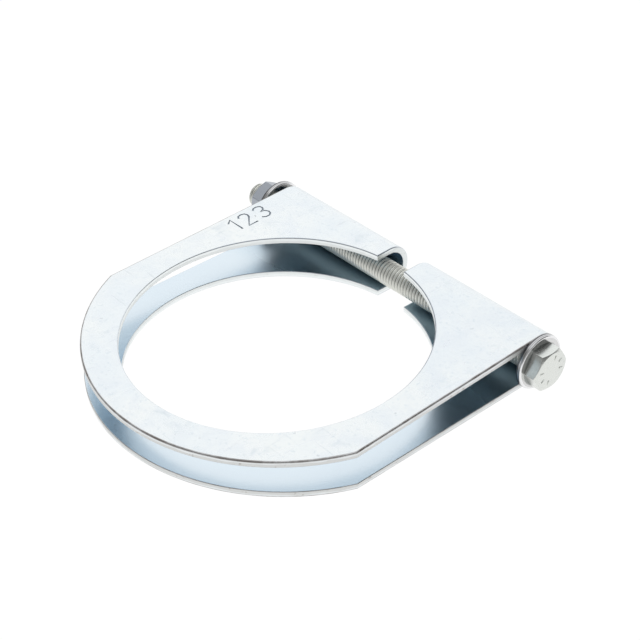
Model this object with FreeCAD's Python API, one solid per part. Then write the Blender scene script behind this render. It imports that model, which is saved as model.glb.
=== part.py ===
import FreeCAD, Part
import math
import os

# Folded exhaust clamp, millimetres.
# Origin on the pipe bore's axis, half way between the two plates.
# +X along the clamping bolt toward its head, +Y from the bore to the fold, +Z along the pipe.

# Driving dimensions
PIPE_D = 90.5            # bore diameter, the size stamped on the plate
SHEET_T = 2.0            # thickness of the folded sheet
RING_W = 9.95            # width of the ring at its far end
RIM_Y = 4.8              # Y of the rim arc's centre, so the ring widens toward the fold
SIDE_INSET = 5.0         # how far the straight sides are cut inside the rim arc
FOLD_SETBACK = 4.95      # fold's centre line beyond the bore
LEAN_DEG = 0.9           # each plate leans in by this toward the ring's far end
SPLIT_W = 11.5           # width of the split through fold and plates
EDGE_ROLL = 0.35         # die roll along the rim and sides of the outside face
BORE_EASE = 0.25         # eased edge of the bore on the outside face

ROD_D = 8.0              # thread size of the bolt
ROD_GAP = 1.55           # air between bolt and plates
ROD_OFFSET = 0.7         # how far the bolt sits toward the bore from the fold's centre
ROD_DROP = 0.9           # how far the loose bolt lies below the middle of the fold
TAIL_L = 4.6             # thread standing out past the nut
HEX_AF = 12.0            # width across flats of head and nut
HEAD_H = 4.4
NUT_H = 6.5
NUT_BACK = 2.0           # slack between the plates' end and the washer that lies on the nut
NUT_TURN_DEG = 30.0      # the nut's flats against the head's
ROD_END_CHAMFER = 1.0
HEX_CHAMFER_DEG = 30.0
HEX_FACE_SHARE = 0.95    # diameter of the flat end face as a share of the width across flats
NUT_MOUTH = 0.4          # countersink at both ends of the nut's thread

WASHER_PROUD = 0.95      # how far the washers stand out past the fold
WASHER_T = 1.6
WASHER_EASE = 0.2        # softened rims of the washers
WASHER_RUN = 0.65        # radial clearance of the washers on the thread
WASHER_RISE = 0.45       # how far the washers sit above the bolt's own axis
NUT_RUN = 0.05           # radial running clearance of the nut on the thread
CUT_OVER = 5.0           # how far cutting tools reach past what they cut

# Derived
BORE_R = PIPE_D / 2.0
RIM_R = BORE_R + RING_W + RIM_Y
SIDE_X = RIM_R - SIDE_INSET
CORNER_Y = RIM_Y - math.sqrt(RIM_R ** 2 - SIDE_X ** 2)
ROD_R = ROD_D / 2.0
FOLD_R = ROD_R + ROD_GAP + SHEET_T
FOLD_Y = BORE_R + FOLD_SETBACK
ROD_Y = FOLD_Y - ROD_OFFSET
ROD_Z = -ROD_DROP
WASHER_Z = ROD_Z + WASHER_RISE
LEAN = math.radians(LEAN_DEG)
WASHER_R = FOLD_R + WASHER_PROUD
WASHER_X = SIDE_X + WASHER_T
NUT_WASHER_X = -SIDE_X - NUT_BACK
NUT_SEAT_X = NUT_WASHER_X - WASHER_T
NUT_X = NUT_SEAT_X - NUT_H
HEAD_X = WASHER_X + HEAD_H
ROD_END_X = NUT_X - TAIL_L
HEX_FACE_R = HEX_AF / 2.0 * HEX_FACE_SHARE
HEX_CLEAR_R = HEX_AF / 2.0 / math.cos(math.radians(30.0)) + 0.5
HEX_FALL = (HEX_CLEAR_R - HEX_FACE_R) * math.tan(math.radians(HEX_CHAMFER_DEG))
PLATE_END_Y = RIM_Y - RIM_R - CUT_OVER
HALF_H_MAX = FOLD_R + SHEET_T
FOLD_END_Y = FOLD_Y + FOLD_R + CUT_OVER
LONG_X = SIDE_X + CUT_OVER


def vec(x, y, z):
    return FreeCAD.Vector(x, y, z)


def hairpin(radius, end_y, x):
    """Closed YZ outline of a half-round fold with two leaning legs that run to end_y."""
    top_y = FOLD_Y - radius * math.sin(LEAN)
    top_z = radius * math.cos(LEAN)
    far_z = top_z - (top_y - end_y) * math.tan(LEAN)
    a = vec(x, end_y, far_z)
    b = vec(x, top_y, top_z)
    c = vec(x, FOLD_Y + radius, 0)
    d = vec(x, top_y, -top_z)
    e = vec(x, end_y, -far_z)
    edges = [
        Part.makeLine(a, b),
        Part.Arc(b, c, d).toShape(),
        Part.makeLine(d, e),
        Part.makeLine(e, a),
    ]
    return Part.Face(Part.Wire(edges))


def folded_strip():
    """The sheet folded round the bolt, before its outline is cut."""
    outer = hairpin(FOLD_R, PLATE_END_Y, -LONG_X)
    inner = hairpin(FOLD_R - SHEET_T, PLATE_END_Y - CUT_OVER, -LONG_X)
    run = vec(2 * LONG_X, 0, 0)
    return outer.extrude(run).cut(inner.extrude(run))


def outline_prism():
    """Plan outline: ring arc, a corner each side, straight parallel sides, past the fold."""
    a = vec(-SIDE_X, FOLD_END_Y, -HALF_H_MAX)
    b = vec(-SIDE_X, CORNER_Y, -HALF_H_MAX)
    c = vec(0, RIM_Y - RIM_R, -HALF_H_MAX)
    d = vec(SIDE_X, CORNER_Y, -HALF_H_MAX)
    e = vec(SIDE_X, FOLD_END_Y, -HALF_H_MAX)
    edges = [
        Part.makeLine(a, b),
        Part.Arc(b, c, d).toShape(),
        Part.makeLine(d, e),
        Part.makeLine(e, a),
    ]
    return Part.Face(Part.Wire(edges)).extrude(vec(0, 0, 2 * HALF_H_MAX))


def outside_offset(p):
    """Distance of a point from the outside face of the fold or of the nearer plate."""
    from_fold = math.hypot(p.y - FOLD_Y, p.z) - FOLD_R
    along = (FOLD_Y - p.y) * math.cos(LEAN) - abs(p.z) * math.sin(LEAN)
    if along < 0:
        return from_fold
    return abs(p.z) * math.cos(LEAN) + (FOLD_Y - p.y) * math.sin(LEAN) - FOLD_R


def punched_edges(body, on_bore):
    """Edges of the outside face: the bore's, or the ring arc's and straight sides'."""
    found = []
    for edge in body.Edges:
        samples = edge.discretize(7)
        if any(abs(outside_offset(p)) > 0.02 for p in samples):
            continue
        at_bore = all(abs(math.hypot(p.x, p.y) - BORE_R) < 0.02 for p in samples)
        at_rim = all(abs(math.hypot(p.x, p.y - RIM_Y) - RIM_R) < 0.02 for p in samples)
        at_side = all(abs(abs(p.x) - SIDE_X) < 0.02 for p in samples)
        if at_bore if on_bore else (at_rim or at_side):
            found.append(edge)
    return found


def clamp_sheet():
    """One piece of sheet: two C-shaped plates joined by the fold, split over the bolt."""
    body = folded_strip().common(outline_prism())
    bore = Part.makeCylinder(BORE_R, 4 * HALF_H_MAX, vec(0, 0, -2 * HALF_H_MAX))
    split_y = BORE_R * 0.5
    split = Part.makeBox(
        SPLIT_W,
        FOLD_END_Y - split_y,
        4 * HALF_H_MAX,
        vec(-SPLIT_W / 2.0, split_y, -2 * HALF_H_MAX),
    )
    body = body.cut(bore).cut(split).removeSplitter()
    body = body.makeFillet(EDGE_ROLL, punched_edges(body, False))
    return body.makeChamfer(BORE_EASE, punched_edges(body, True))


def hex_prism(x, height, turn_deg):
    """Hexagonal bar along X, two of its flats level before it is turned."""
    points = []
    for i in range(7):
        angle = math.radians(60.0 * i + turn_deg)
        r = HEX_AF / 2.0 / math.cos(math.radians(30.0))
        points.append(vec(x, ROD_Y + r * math.cos(angle), ROD_Z + r * math.sin(angle)))
    return Part.Face(Part.makePolygon(points)).extrude(vec(height, 0, 0))


def turned(profile, axis_z=ROD_Z):
    """Solid of revolution about an axis along X, from (x, radius) points."""
    points = [vec(x, ROD_Y + r, axis_z) for x, r in profile]
    points.append(points[0])
    face = Part.Face(Part.makePolygon(points))
    return face.revolve(vec(0, ROD_Y, axis_z), vec(1, 0, 0), 360)


def clamp_bolt():
    """Hex head bolt, its thread the full length of the rod."""
    crown = turned([
        (WASHER_X, 0),
        (WASHER_X, HEX_CLEAR_R),
        (HEAD_X - HEX_FALL, HEX_CLEAR_R),
        (HEAD_X, HEX_FACE_R),
        (HEAD_X, 0),
    ])
    head = hex_prism(WASHER_X, HEAD_H, 0).common(crown)
    rod = turned([
        (ROD_END_X, 0),
        (ROD_END_X, ROD_R - ROD_END_CHAMFER),
        (ROD_END_X + ROD_END_CHAMFER, ROD_R),
        (WASHER_X + HEAD_H / 2.0, ROD_R),
        (WASHER_X + HEAD_H / 2.0, 0),
    ])
    return head.fuse(rod).removeSplitter()


def hex_nut():
    """Plain hex nut, chamfered both sides, running on the thread."""
    hole_r = ROD_R + NUT_RUN
    mouth_r = hole_r + NUT_MOUTH
    crown = turned([
        (NUT_X, mouth_r),
        (NUT_X, HEX_FACE_R),
        (NUT_X + HEX_FALL, HEX_CLEAR_R),
        (NUT_SEAT_X - HEX_FALL, HEX_CLEAR_R),
        (NUT_SEAT_X, HEX_FACE_R),
        (NUT_SEAT_X, mouth_r),
        (NUT_SEAT_X - NUT_MOUTH, hole_r),
        (NUT_X + NUT_MOUTH, hole_r),
    ])
    return hex_prism(NUT_X, NUT_H, NUT_TURN_DEG).common(crown)


def washer(low):
    """Flat washer on the bolt, its rims a little softened."""
    high = low + WASHER_T
    hole = ROD_R + WASHER_RUN
    return turned([
        (low, hole),
        (low, WASHER_R - WASHER_EASE),
        (low + WASHER_EASE, WASHER_R),
        (high - WASHER_EASE, WASHER_R),
        (high, WASHER_R - WASHER_EASE),
        (high, hole),
    ], WASHER_Z)


os.makedirs("parts", exist_ok=True)
clamp_sheet().exportStep("parts/clamp_sheet.step")
clamp_bolt().exportStep("parts/clamp_bolt.step")
hex_nut().exportStep("parts/hex_nut.step")
washer(SIDE_X).exportStep("parts/head_washer.step")
washer(NUT_SEAT_X).exportStep("parts/nut_washer.step")
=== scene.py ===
import math

import bmesh
import bpy
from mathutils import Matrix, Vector


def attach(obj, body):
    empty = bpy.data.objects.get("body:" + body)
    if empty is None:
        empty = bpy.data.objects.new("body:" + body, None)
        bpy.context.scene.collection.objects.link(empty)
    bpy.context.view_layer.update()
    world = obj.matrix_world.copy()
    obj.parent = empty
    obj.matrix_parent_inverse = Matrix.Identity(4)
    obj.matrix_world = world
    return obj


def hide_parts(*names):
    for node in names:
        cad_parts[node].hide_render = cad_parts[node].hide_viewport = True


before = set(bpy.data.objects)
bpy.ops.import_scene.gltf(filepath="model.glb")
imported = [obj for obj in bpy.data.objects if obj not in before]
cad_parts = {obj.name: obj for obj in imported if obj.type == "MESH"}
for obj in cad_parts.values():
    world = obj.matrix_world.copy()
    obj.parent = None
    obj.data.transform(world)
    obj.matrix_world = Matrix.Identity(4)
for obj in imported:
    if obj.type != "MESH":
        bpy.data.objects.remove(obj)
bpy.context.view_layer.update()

MM = 0.001

# Folded sheet
PIPE_R = 45.25 * MM
SHEET_T = 2.0 * MM
RING_W = 9.95 * MM          # at the ring's far end
RIM_Y = 4.8 * MM            # centre of the rim's arc
RIM_R = PIPE_R + RING_W + RIM_Y
SIDE_INSET = 5.0 * MM       # of the straight sides, inside the rim's arc
SIDE_X = RIM_R - SIDE_INSET
FOLD_R = 7.55 * MM          # to the outside of the fold
FOLD_SETBACK = 4.95 * MM    # of the fold's centre line, beyond the bore
FOLD_Y = PIPE_R + FOLD_SETBACK
LEAN = math.radians(0.9)    # of each plate, toward the other
SPLIT_W = 11.5 * MM
OUTLINE_ROLL = 0.50 * MM    # die roll of the outside face, at rim and sides
BORE_ROLL = 0.32 * MM       # and at bore and split
INNER_ROLL = 0.25 * MM      # of the face between the plates

# Washers
WASHER_R = 8.5 * MM
WASHER_T = 1.6 * MM
WASHER_Z = -0.45 * MM       # height of their axis
WASHER_HOLE_R = 4.65 * MM
WASHER_ROLL = 0.60 * MM     # corner toward the head
WASHER_EASE = 0.25 * MM     # corner toward the nut

# Bolt and nut
ROD_Y = 49.5 * MM
ROD_Z = -0.9 * MM
PITCH = 1.25 * MM
CREST_R = 3.92 * MM
ROOT_R = 3.42 * MM
HEX_AF = 12.0 * MM
HEX_CORNER_R = HEX_AF / 2 / math.cos(math.pi / 6)
HEX_CLEAR_R = HEX_CORNER_R + 0.5 * MM
HEX_FACE_R = 5.7 * MM       # flat left inside the lathe's 30 degree cone
HEX_EASE = 0.12 * MM
HEAD_H = 4.4 * MM
HEAD_SEAT_X = SIDE_X + WASHER_T
HEAD_X = HEAD_SEAT_X + HEAD_H
MARK_H = 0.20 * MM
FACE_X = HEAD_X - MARK_H    # of the head, under its raised dashes
NUT_H = 6.5 * MM
NUT_BACK = 2.0 * MM         # slack between the plates' end and the nut's washer
NUT_SEAT_X = -SIDE_X - NUT_BACK - WASHER_T
NUT_X = NUT_SEAT_X - NUT_H
NUT_HOLE_R = 4.02 * MM
NUT_MOUTH = 0.4 * MM        # depth of the countersink
NUT_MOUTH_R = 5.45 * MM     # of the countersink's cone, 1 mm outside the nut
TAIL_L = 4.6 * MM           # thread that stands out past the nut
ROD_END_X = NUT_X - TAIL_L

# Blank and cutting tools, all reaching past what they cut
BLANK_REACH = 120 * MM
BLANK_SPARE = 5 * MM
FOLD_STEPS = 56
ROUND_SIDES = 288
WASHER_SIDES = 128
TURNED_SIDES = 96
TOOL_HALF_H = 12 * MM
TOOL_END_Y = 70 * MM
SPLIT_START_Y = 20 * MM

# Tolerances for picking faces and edges by their place, and for joining and cutting
ON_LINE = 0.001 * MM
ON_WALL = 0.02 * MM
ON_FACE = 0.1 * MM
SHARP = math.radians(20)
SAME_POINT = 0.0001 * MM
CUT_THRESHOLD = 0.00001 * MM


# Modelling helpers


def deselect_all():
    bpy.ops.object.select_all(action="DESELECT")


def make_active(piece):
    deselect_all()
    piece.select_set(True)
    bpy.context.view_layer.objects.active = piece


def settle(piece):
    """Puts the piece's place into its mesh, with its object at the origin."""
    make_active(piece)
    bpy.ops.object.transform_apply(location=True, rotation=True, scale=True)
    return piece


def finish_modifier(piece, modifier):
    make_active(piece)
    bpy.ops.object.modifier_apply(modifier=modifier.name)


def combine(piece, tool, operation="DIFFERENCE"):
    """Cuts, joins or keeps what is common with a tool, which is used up."""
    modifier = piece.modifiers.new("combine", "BOOLEAN")
    modifier.operation = operation
    modifier.solver = "EXACT"
    modifier.object = tool
    finish_modifier(piece, modifier)
    bpy.data.objects.remove(tool)
    return piece


def washer_bar(name, radius, low_x, high_x, sides):
    """Round bar on the washers' axis."""
    deselect_all()
    bpy.ops.mesh.primitive_cylinder_add(
        vertices=sides,
        radius=radius,
        depth=high_x - low_x,
        location=((low_x + high_x) / 2, ROD_Y, WASHER_Z),
        rotation=(0, math.pi / 2, 0),
    )
    piece = bpy.context.object
    piece.name = name
    return settle(piece)


def box_tool(name, low, high):
    """Box between two corners."""
    deselect_all()
    middle = [(a + b) / 2 for a, b in zip(low, high)]
    bpy.ops.mesh.primitive_cube_add(size=1, location=middle)
    piece = bpy.context.object
    piece.name = name
    piece.scale = [b - a for a, b in zip(low, high)]
    return settle(piece)


def choose(piece, edge_test=None, face_test=None, vert_test=None):
    """Selects by place, in edit mode, and leaves the piece there."""
    make_active(piece)
    bpy.ops.object.mode_set(mode="EDIT")
    mode = "VERT" if vert_test else "EDGE" if edge_test else "FACE"
    bpy.ops.mesh.select_mode(type=mode)
    bpy.ops.mesh.select_all(action="DESELECT")
    mesh = bmesh.from_edit_mesh(piece.data)
    if vert_test:
        for v in mesh.verts:
            v.select = vert_test(v.co)
    if edge_test:
        for e in mesh.edges:
            e.select = edge_test(e)
    if face_test:
        for f in mesh.faces:
            f.select = face_test(f)
    mesh.select_flush_mode()
    bmesh.update_edit_mesh(piece.data)


def leave_edit():
    bpy.ops.object.mode_set(mode="OBJECT")


def merge_doubles(piece, distance=SAME_POINT):
    make_active(piece)
    bpy.ops.object.mode_set(mode="EDIT")
    bpy.ops.mesh.select_all(action="SELECT")
    bpy.ops.mesh.remove_doubles(threshold=distance)
    bpy.ops.mesh.normals_make_consistent(inside=False)
    leave_edit()


def clear_flat_edges(piece):
    """Drops edges that lie inside a flat face."""
    make_active(piece)
    bpy.ops.object.mode_set(mode="EDIT")
    bpy.ops.mesh.select_all(action="SELECT")
    bpy.ops.mesh.dissolve_limited(angle_limit=math.radians(0.02))
    leave_edit()


def smooth(piece, degrees):
    """Round faces shade round, and flat ones stay flat up to their edges."""
    make_active(piece)
    bpy.ops.object.shade_smooth_by_angle(angle=math.radians(degrees))
    modifier = piece.modifiers.new("flat faces lead", "WEIGHTED_NORMAL")
    modifier.keep_sharp = True
    modifier.weight = 100
    finish_modifier(piece, modifier)


def polyline(name, points):
    """Open line of edges, drawn by extruding one point, and left active."""
    deselect_all()
    bpy.ops.mesh.primitive_plane_add(size=MM)
    piece = bpy.context.object
    piece.name = name
    bpy.ops.object.mode_set(mode="EDIT")
    bpy.ops.mesh.select_mode(type="VERT")
    bpy.ops.mesh.select_all(action="SELECT")
    bpy.ops.mesh.merge(type="CENTER")
    bpy.ops.transform.translate(value=points[0])
    for here, there in zip(points, points[1:]):
        step = [b - a for a, b in zip(here, there)]
        bpy.ops.mesh.extrude_vertices_move(TRANSFORM_OT_translate={"value": step})
    leave_edit()
    return piece


# Folded sheet


def folded_strip():
    """Upper leg, swept round the fold, then on into the lower leg, given thickness."""
    half_x = SIDE_X + BLANK_SPARE
    top = (FOLD_Y - FOLD_R * math.sin(LEAN), FOLD_R * math.cos(LEAN))
    far = (top[0] - BLANK_REACH * math.cos(LEAN), top[1] - BLANK_REACH * math.sin(LEAN))
    deselect_all()
    bpy.ops.mesh.primitive_plane_add(size=2 * half_x, location=(0, top[0] - half_x, top[1]))
    strip = bpy.context.object
    strip.name = "clamp_plates"
    settle(strip)
    choose(strip, vert_test=lambda co: co.y < top[0] - MM)
    bpy.ops.transform.translate(value=(0, far[0] - top[0] + 2 * half_x, far[1] - top[1]))
    leave_edit()
    choose(strip, edge_test=lambda e: all(abs(v.co.y - top[0]) < ON_LINE for v in e.verts))
    bpy.ops.mesh.spin(
        steps=FOLD_STEPS,
        angle=math.pi + 2 * LEAN,
        center=(0, FOLD_Y, 0),
        axis=(1, 0, 0),
    )
    bpy.ops.mesh.extrude_region_move(
        TRANSFORM_OT_translate={"value": (0, far[0] - top[0], top[1] - far[1])}
    )
    leave_edit()
    merge_doubles(strip)
    choose(strip, face_test=lambda f: True)
    mesh = bmesh.from_edit_mesh(strip.data)
    upper = max(mesh.faces, key=lambda f: f.calc_center_median().z)
    if upper.normal.z < 0:
        bpy.ops.mesh.flip_normals()
    leave_edit()
    shell = strip.modifiers.new("sheet", "SOLIDIFY")
    shell.thickness = SHEET_T
    shell.offset = -1
    shell.use_even_offset = True
    finish_modifier(strip, shell)
    merge_doubles(strip)
    return strip


def outline_tool():
    """The blank's plan: rim arc, a corner each side, straight sides, far past the fold."""
    deselect_all()
    bpy.ops.mesh.primitive_circle_add(
        vertices=ROUND_SIDES,
        radius=RIM_R,
        fill_type="NGON",
        location=(0, RIM_Y, -TOOL_HALF_H),
    )
    tool = settle(bpy.context.object)
    bpy.ops.object.mode_set(mode="EDIT")
    for place, normal in (
        ((SIDE_X, 0, 0), (1, 0, 0)),
        ((-SIDE_X, 0, 0), (-1, 0, 0)),
        ((0, 0, 0), (0, 1, 0)),
    ):
        bpy.ops.mesh.select_all(action="SELECT")
        bpy.ops.mesh.bisect(
            plane_co=place, plane_no=normal, clear_outer=True, threshold=CUT_THRESHOLD
        )
    leave_edit()
    choose(tool, edge_test=lambda e: all(abs(v.co.y) < ON_LINE for v in e.verts))
    bpy.ops.mesh.extrude_region_move(TRANSFORM_OT_translate={"value": (0, TOOL_END_Y, 0)})
    leave_edit()
    choose(tool, face_test=lambda f: True)
    bpy.ops.mesh.extrude_region_move(
        TRANSFORM_OT_translate={"value": (0, 0, 2 * TOOL_HALF_H)}
    )
    leave_edit()
    merge_doubles(tool)
    return tool


def bore_tool():
    deselect_all()
    bpy.ops.mesh.primitive_cylinder_add(
        vertices=ROUND_SIDES, radius=PIPE_R, depth=5 * TOOL_HALF_H
    )
    return settle(bpy.context.object)


def upper_face_z(y):
    """Height of the upper plate's outside face."""
    return FOLD_R / math.cos(LEAN) - (FOLD_Y - y) * math.tan(LEAN)


def off_outside(co):
    """Distance from the outside face of the fold or of the nearer plate."""
    along = (FOLD_Y - co.y) * math.cos(LEAN) - abs(co.z) * math.sin(LEAN)
    if along < 0:
        return math.hypot(co.y - FOLD_Y, co.z) - FOLD_R
    return abs(co.z) * math.cos(LEAN) + (FOLD_Y - co.y) * math.sin(LEAN) - FOLD_R


def at_rim_or_side(co):
    at_rim = abs(math.hypot(co.x, co.y - RIM_Y) - RIM_R) < ON_WALL
    return at_rim or abs(abs(co.x) - SIDE_X) < ON_LINE


def at_bore_or_split(co):
    at_bore = abs(math.hypot(co.x, co.y) - PIPE_R) < ON_WALL
    return at_bore or abs(abs(co.x) - SPLIT_W / 2) < ON_LINE


def is_wall_face(face):
    """Cut faces: bore, rim, sides and both ends of the split."""
    middle = face.calc_center_median()
    looks_along = abs(face.normal.x) > 0.9
    is_upright = abs(face.normal.z) < 0.2
    at_split = abs(abs(middle.x) - SPLIT_W / 2) < ON_WALL / 2
    at_side = abs(abs(middle.x) - SIDE_X) < ON_WALL / 2
    from_bore = abs(math.hypot(middle.x, middle.y) - PIPE_R)
    from_rim = abs(math.hypot(middle.x, middle.y - RIM_Y) - RIM_R)
    at_round_wall = min(from_bore, from_rim) < ON_WALL
    return ((at_split or at_side) and looks_along) or (at_round_wall and is_upright)


def is_punched_edge(edge, off, on_wall):
    """True for an edge of such a wall that lies that far off the outside face."""
    if edge.calc_face_angle(0) < SHARP:
        return False
    for v in edge.verts:
        if not on_wall(v.co):
            return False
        if abs(off_outside(v.co) - off) > ON_FACE:
            return False
    walls = [is_wall_face(f) for f in edge.link_faces]
    return len(walls) == 2 and walls[0] != walls[1]


def roll_over(sheet, off, on_wall, width):
    """Rounds the edges of such walls, as the punch leaves them."""
    choose(sheet, edge_test=lambda e: is_punched_edge(e, off, on_wall))
    bpy.ops.mesh.bevel(offset=width, segments=4, profile=0.5, affect="EDGES")
    leave_edit()


def sheet_piece():
    """The folded strip cut to its outline, bored, split and its edges rolled."""
    sheet = folded_strip()
    combine(sheet, outline_tool(), "INTERSECT")
    combine(sheet, bore_tool())
    split = box_tool(
        "split",
        (-SPLIT_W / 2, SPLIT_START_Y, -TOOL_HALF_H),
        (SPLIT_W / 2, TOOL_END_Y, TOOL_HALF_H),
    )
    combine(sheet, split)
    merge_doubles(sheet)
    clear_flat_edges(sheet)
    roll_over(sheet, 0, at_rim_or_side, OUTLINE_ROLL)
    roll_over(sheet, 0, at_bore_or_split, BORE_ROLL)
    roll_over(sheet, -SHEET_T, at_rim_or_side, INNER_ROLL)
    roll_over(sheet, -SHEET_T, at_bore_or_split, INNER_ROLL)
    return sheet


# Stamped number

# Strokes of plain block digits, in stroke heights, x across and y up.
DIGIT_STROKES = {
    "1": [[(0.10, 0.78), (0.36, 1.0), (0.36, 0.0)]],
    "2": [[(0.05, 0.80), (0.14, 0.95), (0.32, 1.0), (0.50, 0.94), (0.57, 0.77),
           (0.52, 0.60), (0.05, 0.0), (0.60, 0.0)]],
    "3": [[(0.05, 0.86), (0.18, 0.98), (0.36, 1.0), (0.52, 0.92), (0.56, 0.76),
           (0.48, 0.60), (0.26, 0.54), (0.48, 0.48), (0.58, 0.30), (0.54, 0.12),
           (0.38, 0.0), (0.18, 0.02), (0.03, 0.14)]],
    ".": [[(0.0, 0.42), (0.03, 0.42)]],
}
STAMP_FOOT_X = -46.2 * MM
STAMP_HEIGHT = 6.6 * MM
STAMP_PLACES = (("1", 22.8 * MM), ("2", 27.4 * MM), (".", 32.4 * MM), ("3", 33.5 * MM))
STROKE_R = 0.30 * MM


def stroke_tube(points):
    """Round-ended stroke, as a stamp's nose would press it."""
    polyline("stroke", points)
    bpy.ops.object.convert(target="CURVE")
    line = bpy.context.object
    line.data.bevel_depth = STROKE_R
    line.data.bevel_resolution = 2
    line.data.use_fill_caps = True
    bpy.ops.object.convert(target="MESH")
    return bpy.context.object


def stamp_number(sheet):
    """Presses plain digits into the upper plate, their tops toward the nut."""
    for digit, start_y in STAMP_PLACES:
        for stroke in DIGIT_STROKES[digit]:
            points = []
            for across, up in stroke:
                x = STAMP_FOOT_X - up * STAMP_HEIGHT
                y = start_y + across * STAMP_HEIGHT
                points.append((x, y, upper_face_z(y)))
            combine(sheet, stroke_tube(points))


# Bolt, nut, washers


def hex_bar(name, low_x, high_x, corner_up):
    """Hexagonal bar with a corner or a flat at its top."""
    deselect_all()
    bpy.ops.mesh.primitive_cylinder_add(
        vertices=6,
        radius=HEX_CORNER_R,
        depth=high_x - low_x,
        location=((low_x + high_x) / 2, ROD_Y, ROD_Z),
        rotation=(0, math.pi / 2, 0),
    )
    bar = settle(bpy.context.object)
    bar.name = name
    top = max(v.co.z for v in bar.data.vertices) - ROD_Z
    has_corner_up = top > (HEX_AF / 2 + HEX_CORNER_R) / 2
    if has_corner_up != corner_up:
        make_active(bar)
        bpy.ops.object.mode_set(mode="EDIT")
        bpy.ops.mesh.select_all(action="SELECT")
        bpy.ops.transform.rotate(
            value=math.pi / 6, orient_axis="X", center_override=(0, ROD_Y, ROD_Z)
        )
        leave_edit()
    return bar


def turned_tool(name, profile):
    """Closed solid of revolution about the bolt's axis from (x, radius) points."""
    line = polyline(name, [(x, ROD_Y, ROD_Z + r) for x, r in profile])
    choose(line, edge_test=lambda e: True)
    bpy.ops.mesh.spin(
        steps=TURNED_SIDES, angle=2 * math.pi, center=(0, ROD_Y, ROD_Z), axis=(1, 0, 0)
    )
    leave_edit()
    merge_doubles(line, ON_LINE)
    return line


def crown_tool(low_x, high_x, chamfer_low):
    """What a lathe leaves of a hex bar: 30 degree cones outside each flat face."""
    fall = (HEX_CLEAR_R - HEX_FACE_R) * math.tan(math.radians(30))
    profile = [(low_x, 0)]
    if chamfer_low:
        profile += [(low_x, HEX_FACE_R), (low_x + fall, HEX_CLEAR_R)]
    else:
        profile += [(low_x, HEX_CLEAR_R)]
    profile += [(high_x - fall, HEX_CLEAR_R), (high_x, HEX_FACE_R), (high_x, 0)]
    return turned_tool("crown", profile)


def soften(piece, edge_test, width, segments):
    """Rounds the chosen edges a little."""
    choose(piece, edge_test=edge_test)
    bpy.ops.mesh.bevel(offset=width, segments=segments, profile=0.6, affect="EDGES")
    leave_edit()


CREST_LOW = 0.49 * MM     # flat top of one turn, along its pitch
CREST_HIGH = 0.76 * MM
CREST_EASE = 0.06 * MM
ROOT_HALF_W = 0.14 * MM
ROOT_DIP = 0.04 * MM      # the root is a little hollow
THREAD_STEPS = 28
POINT_L = 1.0 * MM        # chamfer at the bolt's end
ROD_IN_HEAD = 1.5 * MM    # how far the rod runs into the head


def threaded_rod():
    """Right-hand thread from one end of the bolt to the head."""
    profile = [
        (0, ROOT_R - ROOT_DIP),
        (ROOT_HALF_W, ROOT_R),
        (CREST_LOW - CREST_EASE, CREST_R - CREST_EASE),
        (CREST_LOW, CREST_R),
        (CREST_HIGH, CREST_R),
        (CREST_HIGH + CREST_EASE, CREST_R - CREST_EASE),
        (PITCH - ROOT_HALF_W, ROOT_R),
        (PITCH, ROOT_R - ROOT_DIP),
    ]
    start = ROD_END_X - 3 * PITCH
    stop = HEAD_SEAT_X + 2 * MM
    turns = math.ceil((stop - start) / PITCH)
    rod = polyline("rod_with_thread", [(start + x, 0, r) for x, r in profile])
    screw = rod.modifiers.new("thread", "SCREW")
    screw.axis = "X"
    screw.angle = 2 * math.pi
    screw.screw_offset = PITCH
    screw.iterations = turns
    screw.steps = THREAD_STEPS
    screw.render_steps = THREAD_STEPS
    screw.use_merge_vertices = True
    screw.merge_threshold = ON_LINE
    finish_modifier(rod, screw)
    rod.location = (0, ROD_Y, ROD_Z)
    settle(rod)
    merge_doubles(rod, ON_LINE)
    for place, normal in (
        (ROD_END_X, (-1, 0, 0)),
        (HEAD_SEAT_X + ROD_IN_HEAD, (1, 0, 0)),
    ):
        make_active(rod)
        bpy.ops.object.mode_set(mode="EDIT")
        bpy.ops.mesh.select_all(action="SELECT")
        bpy.ops.mesh.bisect(
            plane_co=(place, 0, 0),
            plane_no=normal,
            use_fill=True,
            clear_outer=True,
            threshold=CUT_THRESHOLD,
        )
        leave_edit()
    merge_doubles(rod, ON_LINE)
    return rod


def bolt_piece(head_steel):
    """Threaded rod with its chamfered end, and the head with its raised dashes."""
    rod = threaded_rod()
    clear_r = CREST_R + 0.3 * MM
    end = turned_tool("pointed_end", [
        (ROD_END_X, 0),
        (ROD_END_X, CREST_R + 0.05 * MM - POINT_L),
        (ROD_END_X + POINT_L, CREST_R + 0.05 * MM),
        (ROD_END_X + POINT_L + 0.3 * MM, clear_r),
        (HEAD_SEAT_X + 2 * ROD_IN_HEAD, clear_r),
        (HEAD_SEAT_X + 2 * ROD_IN_HEAD, 0),
    ])
    combine(rod, end, "INTERSECT")
    head = hex_bar("head", HEAD_SEAT_X, FACE_X, False)
    combine(head, crown_tool(HEAD_SEAT_X, FACE_X, False), "INTERSECT")
    merge_doubles(head)
    clear_flat_edges(head)
    soften(head, lambda e: e.calc_face_angle(0) > SHARP, HEX_EASE, segments=3)
    raised_dashes(head)
    smooth(rod, degrees=40)
    smooth(head, degrees=30)
    dress(rod, thread_steel())
    dress(head, head_steel)
    make_active(head)
    rod.select_set(True)
    bpy.ops.object.join()
    head.name = "hex_bolt"
    return head


DASH_W = 0.50 * MM
DASH_L = 1.4 * MM
DASH_OUT = 4.0 * MM       # from the bolt's axis to a dash's middle
DASH_EASE = 0.12 * MM
DASH_DEGREES = (20, 62, 104, 196, 238, 280)


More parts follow.
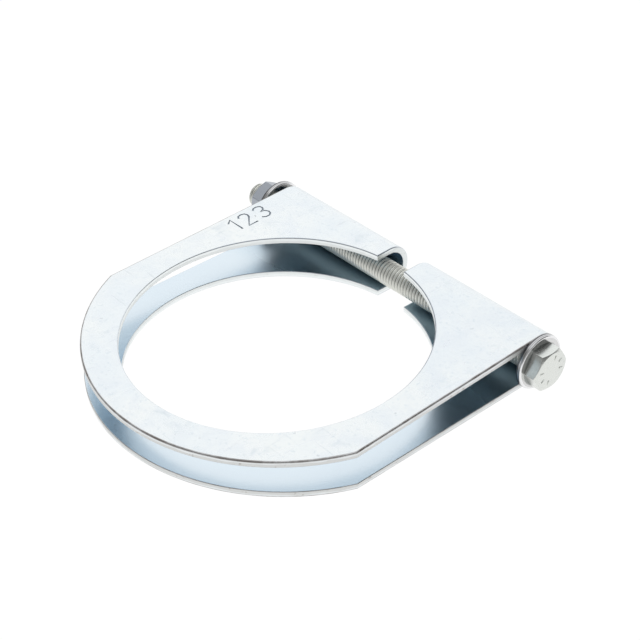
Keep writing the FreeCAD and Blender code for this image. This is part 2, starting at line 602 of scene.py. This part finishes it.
def raised_dashes(head):
    """Plain raised strokes round the head's face."""
    deselect_all()
    bpy.ops.mesh.primitive_cube_add(size=1)
    first = bpy.context.object
    first.scale = (2 * MARK_H, DASH_W, DASH_L)
    first.location = (FACE_X, ROD_Y, ROD_Z + DASH_OUT)
    settle(first)
    bpy.ops.object.mode_set(mode="EDIT")
    bpy.ops.mesh.select_all(action="SELECT")
    bpy.ops.mesh.bevel(offset=DASH_EASE, segments=2, affect="EDGES")
    leave_edit()
    dashes = []
    for degrees in DASH_DEGREES:
        make_active(first)
        bpy.ops.object.duplicate()
        dashes.append(bpy.context.object)
        bpy.ops.object.mode_set(mode="EDIT")
        bpy.ops.mesh.select_all(action="SELECT")
        bpy.ops.transform.rotate(
            value=math.radians(degrees),
            orient_axis="X",
            center_override=(FACE_X, ROD_Y, ROD_Z),
        )
        leave_edit()
    bpy.data.objects.remove(first)
    make_active(head)
    for dash in dashes:
        dash.select_set(True)
    bpy.ops.object.join()


def nut_piece():
    """Plain nut, chamfered both sides, its hole countersunk at both ends."""
    nut = hex_bar("hexagon_nut", NUT_X, NUT_SEAT_X, True)
    combine(nut, crown_tool(NUT_X, NUT_SEAT_X, True), "INTERSECT")
    hole = turned_tool("hole", [
        (NUT_X - MM, 0),
        (NUT_X - MM, NUT_MOUTH_R),
        (NUT_X + NUT_MOUTH, NUT_HOLE_R),
        (NUT_SEAT_X - NUT_MOUTH, NUT_HOLE_R),
        (NUT_SEAT_X + MM, NUT_MOUTH_R),
        (NUT_SEAT_X + MM, 0),
    ])
    combine(nut, hole)
    merge_doubles(nut)
    clear_flat_edges(nut)
    soften(nut, lambda e: e.calc_face_angle(0) > SHARP, HEX_EASE, segments=3)
    smooth(nut, degrees=30)
    return nut


def washer_piece():
    """The washer under the head, its corner toward the head rolled wider."""
    high_x = SIDE_X + WASHER_T
    washer = washer_bar("washer_at_head", WASHER_R, SIDE_X, high_x, WASHER_SIDES)
    hole = washer_bar(
        "washer_hole", WASHER_HOLE_R, SIDE_X - MM, high_x + MM, TURNED_SIDES
    )
    combine(washer, hole)
    merge_doubles(washer)

    def on_corner(edge, x):
        for v in edge.verts:
            out = math.hypot(v.co.y - ROD_Y, v.co.z - WASHER_Z)
            if abs(v.co.x - x) > ON_LINE or out < WASHER_R - ON_WALL / 2:
                return False
        return True

    soften(washer, lambda e: on_corner(e, SIDE_X), WASHER_EASE, segments=5)
    soften(washer, lambda e: on_corner(e, high_x), WASHER_ROLL, segments=5)
    smooth(washer, degrees=35)
    return washer


def washer_copy(washer, name, low_x):
    """The same washer further along the bolt, with a mesh of its own."""
    make_active(washer)
    bpy.ops.object.duplicate()
    copy = bpy.context.object
    copy.name = name
    copy.location = (low_x - SIDE_X, 0, 0)
    return settle(copy)


# Materials


class Field:
    """A socket that can be used in a sum or product."""

    def __init__(self, paint, socket):
        self.paint = paint
        self.socket = socket

    def _with(self, operation, other, flip=False):
        pair = (other, self) if flip else (self, other)
        return self.paint.math(operation, *pair)

    def __add__(self, other):
        return self._with("ADD", other)

    __radd__ = __add__

    def __sub__(self, other):
        return self._with("SUBTRACT", other)

    def __rsub__(self, other):
        return self._with("SUBTRACT", other, True)

    def __mul__(self, other):
        return self._with("MULTIPLY", other)

    __rmul__ = __mul__

    def __truediv__(self, other):
        return self._with("DIVIDE", other)

    def __pow__(self, other):
        return self._with("POWER", other)


class Tree:
    """A node tree, with one method that adds any node."""

    def __init__(self, tree):
        self.tree = tree

    def node(self, kind, settings=None, inputs=None):
        made = self.tree.nodes.new(kind)
        for key, value in (settings or {}).items():
            setattr(made, key, value)
        for key, value in (inputs or {}).items():
            self.feed(made.inputs[key], value)
        return made

    def feed(self, socket, value):
        if isinstance(value, Field):
            value = value.socket
        if isinstance(value, bpy.types.NodeSocket):
            self.tree.links.new(value, socket)
        else:
            socket.default_value = value

    def math(self, operation, *values):
        made = self.node("ShaderNodeMath", {"operation": operation})
        for socket, value in zip(made.inputs, values):
            self.feed(socket, value)
        return Field(self, made.outputs[0])

    def clamp(self, value):
        return self.math("MINIMUM", self.math("MAXIMUM", value, 0.0), 1.0)

    def step(self, value, low, high):
        """0 below low, 1 above high, smooth between."""
        made = self.node(
            "ShaderNodeMapRange",
            {"interpolation_type": "SMOOTHSTEP"},
            {"Value": value, "From Min": low, "From Max": high},
        )
        return Field(self, made.outputs["Result"])

    def mix(self, factor, a, b):
        made = self.node("ShaderNodeMix", {"data_type": "RGBA"})
        self.feed(made.inputs["Factor"], factor)
        self.feed(made.inputs[6], a)
        self.feed(made.inputs[7], b)
        return made.outputs[2]


class Paint(Tree):
    """A material with a principled shader, on object coordinates."""

    def __init__(self, name):
        self.material = bpy.data.materials.new(name)
        self.material.use_nodes = True
        super().__init__(self.material.node_tree)
        self.shader = self.tree.nodes["Principled BSDF"]
        self.place = self.node("ShaderNodeTexCoord").outputs["Object"]

    def noise(self, scale, detail, rough, stretch=None, turn=None, distort=0.0):
        where = self.place
        if stretch or turn:
            where = self.node(
                "ShaderNodeMapping",
                None,
                {
                    "Vector": where,
                    "Scale": stretch or (1, 1, 1),
                    "Rotation": turn or (0, 0, 0),
                },
            ).outputs["Vector"]
        made = self.node(
            "ShaderNodeTexNoise",
            None,
            {
                "Vector": where,
                "Scale": scale,
                "Detail": detail,
                "Roughness": rough,
                "Distortion": distort,
            },
        )
        return Field(self, made.outputs["Fac"])

    def along(self, axis):
        """Place along one of the part's axes, in metres."""
        made = self.node("ShaderNodeSeparateXYZ", None, {"Vector": self.place})
        return Field(self, made.outputs[axis])

    def off_axis(self, axis_z):
        """Distance from an axis that runs along the bolt at that height."""
        y = self.along("Y") - ROD_Y
        z = self.along("Z") - axis_z
        return (y * y + z * z) ** 0.5

    def bore_and_split(self):
        """1 along the walls of the bore and the split, 0 round the outline."""
        x = self.along("X")
        y = self.along("Y")
        reach = (x * x + y * y) ** 0.5
        bore = 1 - self.step(reach, PIPE_R + 0.8 * MM, PIPE_R + 1.6 * MM)
        aside = self.math("ABSOLUTE", x) - SPLIT_W / 2
        split = 1 - self.step(aside, 0.6 * MM, 1.2 * MM)
        past_start = self.step(y, SPLIT_START_Y, SPLIT_START_Y + MM)
        return self.math("MAXIMUM", bore, split * past_start)

    def bump(self, height, distance, strength):
        made = self.node(
            "ShaderNodeBump",
            None,
            {"Height": height, "Distance": distance, "Strength": strength},
        )
        return made.outputs["Normal"]

    def output(self, **values):
        for key, value in values.items():
            self.feed(self.shader.inputs[key.replace("_", " ")], value)


def zinc_outside():
    """Bright zinc plating on rolled sheet, clouded and lightly scratched."""
    p = Paint("zinc_outside")
    cloud = p.noise(38, 4, 0.6, distort=0.6)
    mottle = p.noise(210, 3, 0.6)
    speckle = p.noise(900, 3, 0.6)
    stain = p.step(p.noise(120, 4, 0.65, distort=0.5), 0.56, 0.74)
    scratch_a = p.step(p.noise(60, 2, 0.5, (1, 30, 1), (0, 0, 0.5)), 0.68, 0.76)
    scratch_b = p.step(p.noise(75, 2, 0.5, (24, 1, 1), (0, 0, -0.3)), 0.69, 0.77)
    marks = p.clamp(scratch_a + scratch_b)
    pits = p.step(p.noise(520, 2, 0.5), 0.71, 0.77)
    base = p.mix(p.step(cloud, 0.32, 0.68), (0.79, 0.84, 0.87, 1), (0.85, 0.88, 0.88, 1))
    base = p.mix(p.step(mottle, 0.42, 0.66) * 0.35, base, (0.74, 0.79, 0.84, 1))
    base = p.mix(stain * 0.35, base, (0.66, 0.73, 0.78, 1))
    base = p.mix(p.step(speckle, 0.56, 0.70) * 0.35, base, (0.62, 0.70, 0.76, 1))
    base = p.mix(marks * 0.35, base, (0.60, 0.65, 0.68, 1))
    base = p.mix(pits * 0.3, base, (0.50, 0.53, 0.56, 1))
    roughness = 0.20 + cloud * 0.12 + stain * 0.14 + marks * 0.08
    height = speckle * 0.6 + mottle * 0.9 + cloud * 2.0 - marks * 0.8 - pits * 1.2
    p.output(
        Base_Color=base, Roughness=roughness, Metallic=1.0,
        Normal=p.bump(height, 0.00003, 0.40),
    )
    return p.material


def zinc_inside():
    """Plating between the plates: bluer, with painted shade that darkens it deep in the fold.
    """
    p = Paint("zinc_inside")
    cloud = p.noise(60, 3, 0.5)
    speckle = p.noise(800, 3, 0.6)
    y = p.along("Y")
    # painted shade: this mask darkens the base toward a dark blue deep in the fold (y 22 to 48
    # mm), and roughens it a little
    depth = p.step(y, 22 * MM, 48 * MM)
    base = p.mix(cloud, (0.67, 0.76, 0.83, 1), (0.75, 0.83, 0.885, 1))
    base = p.mix(depth * 0.8, base, (0.34, 0.51, 0.63, 1))
    p.output(
        Base_Color=base, Roughness=0.22 + cloud * 0.06 + depth * 0.08, Metallic=1.0,
        Normal=p.bump(speckle, 0.00002, 0.25),
    )
    return p.material


def zinc_cut():
    """Punched edge: a burnished band under the outside face, then torn metal."""
    p = Paint("zinc_cut_edge")
    fleck = p.noise(520, 3, 0.65)
    tear = p.noise(900, 3, 0.6, (1, 1, 0.15))
    below = FOLD_R - (p.math("ABSOLUTE", p.along("Z")) + (FOLD_Y - p.along("Y")) * LEAN)
    wander = (p.noise(160, 2, 0.5) - 0.5) * (1.2 * MM)
    torn = p.step(below + wander, 0.75 * MM, 1.05 * MM)
    base = p.mix(fleck, (0.72, 0.76, 0.78, 1), (0.86, 0.88, 0.88, 1))
    base = p.mix(torn * 0.6, base, (0.66, 0.66, 0.64, 1))
    base = p.mix(p.step(fleck, 0.60, 0.70) * torn * 0.6, base, (0.38, 0.36, 0.34, 1))
    base = p.mix(p.bore_and_split() * 0.7, base, (0.90, 0.94, 0.94, 1))
    p.output(
        Base_Color=base, Roughness=0.28 + torn * (0.10 + tear * 0.15), Metallic=1.0,
        Normal=p.bump(tear * torn + fleck * 0.3, 0.00004, 0.6),
    )
    return p.material


def rolled_edge():
    """Where the punch rolled the sheet over: a painted dark reflection, brown and grey by
    turns.

    Bore and split get a painted grey-blue dark reflection, lighter far from the fold and
    behind it.
    """
    p = Paint("rolled_edge")
    along_edge = p.noise(130, 3, 0.6)
    fine = p.noise(700, 2, 0.5)
    y = p.along("Y")
    # painted dark reflection: the roll goes dark brown-grey by turns along the edge, standing
    # in for the dim room it mirrors
    base = p.mix(p.step(along_edge, 0.38, 0.62), (0.34, 0.32, 0.31, 1), (0.58, 0.58, 0.58, 1))
    # painted dark reflection at bore and split: grey-blue, left light far from the fold and
    # behind it
    inner = p.mix(along_edge, (0.34, 0.38, 0.43, 1), (0.56, 0.60, 0.65, 1))
    no_painted_line = p.math("MAXIMUM", 1 - p.step(y, -5 * MM, 20 * MM), p.step(y, 50 * MM, 56 * MM))
    inner = p.mix(no_painted_line * 0.85, inner, (0.82, 0.86, 0.88, 1))
    base = p.mix(p.bore_and_split(), base, inner)
    base = p.mix(p.step(fine, 0.55, 0.70) * 0.4, base, (0.66, 0.68, 0.70, 1))
    p.output(
        Base_Color=base, Roughness=0.30 + fine * 0.1, Metallic=1.0,
        Normal=p.bump(fine, 0.00003, 0.4),
    )
    return p.material


def stamped_groove():
    """Bottom of the stamped strokes, painted dark grey-blue as shade in the grooves."""
    p = Paint("stamped_groove")
    groove_shade_noise = p.noise(700, 2, 0.5)
    # painted shade: the grooves' bottoms go dark grey-blue, patchy by noise
    base = p.mix(groove_shade_noise, (0.24, 0.28, 0.33, 1), (0.50, 0.55, 0.60, 1))
    p.output(
        Base_Color=base, Roughness=0.42 + groove_shade_noise * 0.1, Metallic=1.0,
        Normal=p.bump(groove_shade_noise, 0.00003, 0.4),
    )
    return p.material


def fastener_steel(name, dark, light, roughness):
    """Plain steel of the bolt's head or of the nut, faintly grained."""
    p = Paint(name)
    cloud = p.noise(180, 3, 0.6)
    grain = p.noise(1500, 2, 0.5)
    base = p.mix(cloud, dark, light)
    base = p.mix(p.step(grain, 0.60, 0.75) * 0.3, base, (0.45, 0.45, 0.44, 1))
    p.output(
        Base_Color=base, Roughness=roughness + cloud * 0.10, Metallic=1.0,
        Normal=p.bump(grain + cloud, 0.00002, 0.4),
    )
    return p.material


def washer_steel(name, low_x):
    """Stamped washer: painted shade near the bolt, its rim torn low down and painted dark as
    shade there, its high corner a painted highlight.
    """
    p = Paint(name)
    cloud = p.noise(180, 3, 0.6)
    tear = p.noise(900, 3, 0.6, (0.2, 1, 1))
    reach = p.off_axis(WASHER_Z)
    across = (p.along("X") - low_x) / WASHER_T + (tear - 0.5) * 0.2
    rim = p.step(reach, WASHER_R - 0.12 * MM, WASHER_R - 0.04 * MM)
    # painted highlight: a bright ring on the rounded corner toward the head
    corner = p.step(reach, WASHER_R - 0.75 * MM, WASHER_R - 0.60 * MM) * (1 - rim)
    # the rim goes near black: low down a torn shear zone that is also darkened as painted
    # shade toward the gap, and a painted dark line round the rim's middle
    torn = rim * (1 - p.step(across, 0.28, 0.46))
    line = rim * p.step(across, 0.52, 0.60) * (1 - p.step(across, 0.64, 0.72))
    # painted shade: the washer's face goes near black within about 7 mm of the bolt's axis,
    # next to the head
    painted_head_shade = 1 - p.step(p.off_axis(ROD_Z), 6.6 * MM, 7.1 * MM)
    base = p.mix(cloud, (0.62, 0.62, 0.62, 1), (0.74, 0.74, 0.74, 1))
    base = p.mix(painted_head_shade * 0.6, base, (0.14, 0.16, 0.16, 1))
    base = p.mix(corner * 0.8, base, (0.90, 0.90, 0.91, 1))
    base = p.mix(p.clamp(torn * 0.9 + line * 0.7), base, (0.08, 0.08, 0.09, 1))
    p.output(
        Base_Color=base, Roughness=0.16 + cloud * 0.08 + rim * 0.10, Metallic=1.0,
        Normal=p.bump(cloud + tear * rim * 2.0, 0.00002, 0.3),
    )
    return p.material


def thread_steel():
    """Rolled thread, pale and rather matt, with a dark line of painted shade along its root.
    """
    p = Paint("thread_steel")
    cloud = p.noise(240, 3, 0.6)
    grain = p.noise(1800, 2, 0.5)
    base = p.mix(cloud, (0.85, 0.86, 0.80, 1), (0.95, 0.95, 0.89, 1))
    # painted shade: the base goes dark within 0.14 mm above the root radius, a line in every
    # root
    root = 1 - p.step(p.off_axis(ROD_Z), ROOT_R, ROOT_R + 0.14 * MM)
    base = p.mix(root * 0.75, base, (0.20, 0.21, 0.20, 1))
    p.output(
        Base_Color=base, Roughness=0.32 + cloud * 0.10, Metallic=0.55,
        Normal=p.bump(grain, 0.00002, 0.3),
    )
    return p.material


def dress(piece, *materials):
    """Gives a piece its materials, before any of its faces picks one."""
    piece.data.materials.clear()
    for material in materials:
        piece.data.materials.append(material)


def paint_faces(sheet):
    """Gives each face its finish, by the order of the sheet's materials."""
    outside, punched, inside, stamped, rolled = range(5)
    mesh = bmesh.new()
    mesh.from_mesh(sheet.data)
    for face in mesh.faces:
        middle = face.calc_center_median()
        off = off_outside(middle)
        by_number = -SIDE_X + MM < middle.x < STAMP_FOOT_X + MM and middle.y > 20 * MM
        if is_wall_face(face):
            face.material_index = punched
        elif off < -SHEET_T + ON_WALL / 2:
            face.material_index = inside
        elif off > -ON_WALL / 2:
            face.material_index = outside
        elif by_number and math.hypot(middle.x, middle.y) > PIPE_R + MM:
            face.material_index = stamped
        else:
            face.material_index = rolled
    mesh.to_mesh(sheet.data)
    mesh.free()


# The object

sheet = sheet_piece()
stamp_number(sheet)
dress(
    sheet, zinc_outside(), zinc_cut(), zinc_inside(), stamped_groove(), rolled_edge()
)
paint_faces(sheet)
smooth(sheet, degrees=35)
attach(sheet, "clamp")
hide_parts("clamp_sheet")

head_steel = fastener_steel(
    "head_steel", (0.69, 0.715, 0.69, 1), (0.80, 0.815, 0.78, 1), 0.22
)
nut_steel = fastener_steel(
    "nut_steel", (0.34, 0.37, 0.41, 1), (0.43, 0.46, 0.51, 1), 0.26
)

bolt = bolt_piece(head_steel)
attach(bolt, "bolt")
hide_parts("clamp_bolt")

nut = nut_piece()
dress(nut, nut_steel)
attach(nut, "nut")
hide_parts("hex_nut")

washer_at_head = washer_piece()
washer_at_nut = washer_copy(washer_at_head, "washer_at_nut", NUT_SEAT_X)
for washer, body, node, low_x in (
    (washer_at_head, "clamp", "head_washer", SIDE_X),
    (washer_at_nut, "nut", "nut_washer", NUT_SEAT_X),
):
    dress(washer, washer_steel(node + "_steel", low_x))
    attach(washer, body)
    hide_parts(node)


# Stage, light, camera

FLOOR_Z = -9.0 * MM
FLOOR_SIZE = 8
FLOOR_GLOW = 1.05
FLOOR_GLOW_SHARE = 0.94     # the rest is shaded by the light

# Each side of the room is a direction, with the cosines where it starts and is full
CEILING_SIDE = (-0.10, 0.60, 0.79)
CEILING_EDGE = (0.37, 0.54)
HEAD_SIDE = (1, 0, 0)
HEAD_SIDE_EDGE = (-0.62, -0.44)
DARK_CORNER = (0.75, 0.55, 0.37)
DARK_CORNER_EDGE = (0.72, 0.90)

# What metal mirrors there
CEILING_LIGHT = (1.10, 1.10, 1.10, 1)
HEAD_SIDE_LIGHT = (1.02, 1.035, 1.055, 1)
DIM_ROOM = (0.30, 0.30, 0.30, 1)
DARK_ROOM = (0.14, 0.14, 0.14, 1)

# What it sheds on everything, and how it looks to the camera
FILL_LIGHT = (0.5, 0.5, 0.5, 1)
WHITE = (1, 1, 1, 1)

CAMERA_AZIMUTH = math.radians(49.796)
CAMERA_ELEVATION = math.radians(36.625)
CAMERA_ROLL = math.radians(-1.984)
CAMERA_DISTANCE = 449.762 * MM
CAMERA_TARGET = (-1.027 * MM, 17.234 * MM, 0)
CAMERA_FOCAL_PX = 1527.134
IMAGE_PX = 640
SENSOR_MM = 36


def white_floor():
    """White to the eye and in metal, and shaded by the clamp only faintly."""
    deselect_all()
    bpy.ops.mesh.primitive_plane_add(size=FLOOR_SIZE, location=(0, 0, FLOOR_Z))
    floor = bpy.context.object
    floor.name = "floor"
    p = Paint("floor_white")
    p.output(Base_Color=(0.92, 0.92, 0.92, 1), Roughness=0.9)
    path = p.node("ShaderNodeLightPath")
    seen = p.math("MAXIMUM", Field(p, path.outputs["Is Camera Ray"]),
                  Field(p, path.outputs["Is Glossy Ray"]))
    glow = p.node("ShaderNodeEmission", None, {"Color": WHITE, "Strength": FLOOR_GLOW})
    mixed = p.node("ShaderNodeMixShader", None, {0: seen * FLOOR_GLOW_SHARE})
    p.tree.links.new(p.shader.outputs[0], mixed.inputs[1])
    p.tree.links.new(glow.outputs[0], mixed.inputs[2])
    out = p.tree.nodes["Material Output"]
    p.tree.links.new(mixed.outputs[0], out.inputs["Surface"])
    dress(floor, p.material)


def studio_world():
    """White room to the eye; in metal, a bright ceiling and back over a dim camera side."""
    world = bpy.data.worlds.new("studio")
    bpy.context.scene.world = world
    world.use_nodes = True
    p = Tree(world.node_tree)
    direction = p.node("ShaderNodeTexCoord").outputs["Generated"]

    def facing(side, edge):
        made = p.node(
            "ShaderNodeVectorMath",
            {"operation": "DOT_PRODUCT"},
            {0: direction, 1: Vector(side).normalized()},
        )
        return p.step(made.outputs["Value"], edge[0], edge[1])

    lit = facing(CEILING_SIDE, CEILING_EDGE)
    bright = p.mix(facing(HEAD_SIDE, HEAD_SIDE_EDGE), CEILING_LIGHT, HEAD_SIDE_LIGHT)
    room = p.mix(lit, DIM_ROOM, bright)
    room = p.mix(facing(DARK_CORNER, DARK_CORNER_EDGE), room, DARK_ROOM)
    path = p.node("ShaderNodeLightPath").outputs
    colour = p.mix(path["Is Glossy Ray"], FILL_LIGHT, room)
    seen = p.math("MAXIMUM", path["Is Camera Ray"], path["Is Transmission Ray"])
    colour = p.mix(seen, colour, WHITE)
    back = p.tree.nodes["Background"]
    p.feed(back.inputs["Color"], colour)
    back.inputs["Strength"].default_value = 1.0


def soft_light(name, place, target, side, watts):
    """Square lamp that lights the clamp without showing in its metal."""
    data = bpy.data.lights.new(name, "AREA")
    data.shape = "RECTANGLE"
    data.size = side
    data.size_y = side
    data.energy = watts
    lamp = bpy.data.objects.new(name, data)
    bpy.context.scene.collection.objects.link(lamp)
    lamp.location = place
    lamp.visible_glossy = False
    away = Vector(place) - Vector(target)
    lamp.rotation_mode = "QUATERNION"
    lamp.rotation_quaternion = away.to_track_quat("Z", "Y")


def photo_camera():
    """Camera found by matching the part's edges to the photo's."""
    back = Vector((
        math.sin(CAMERA_AZIMUTH) * math.cos(CAMERA_ELEVATION),
        -math.cos(CAMERA_AZIMUTH) * math.cos(CAMERA_ELEVATION),
        math.sin(CAMERA_ELEVATION),
    ))
    right = Vector((math.cos(CAMERA_AZIMUTH), math.sin(CAMERA_AZIMUTH), 0))
    up = back.cross(right)
    turned_right = right * math.cos(CAMERA_ROLL) + up * math.sin(CAMERA_ROLL)
    turned_up = up * math.cos(CAMERA_ROLL) - right * math.sin(CAMERA_ROLL)
    data = bpy.data.cameras.new("photo_camera")
    data.sensor_width = SENSOR_MM
    data.lens = CAMERA_FOCAL_PX / IMAGE_PX * SENSOR_MM
    data.clip_start = 0.01
    data.clip_end = 20
    camera = bpy.data.objects.new("photo_camera", data)
    bpy.context.scene.collection.objects.link(camera)
    camera.location = Vector(CAMERA_TARGET) + back * CAMERA_DISTANCE
    basis = camera.matrix_world.to_3x3()
    for i in range(3):
        basis[i][0] = turned_right[i]
        basis[i][1] = turned_up[i]
        basis[i][2] = back[i]
    camera.rotation_mode = "QUATERNION"
    camera.rotation_quaternion = basis.to_quaternion()
    bpy.context.scene.camera = camera


white_floor()
studio_world()
soft_light("top_softbox", place=(0.2, 0.3, 1.6), target=(0, 0, 0), side=1.2, watts=5)
photo_camera()
bpy.context.scene.view_settings.view_transform = "Standard"
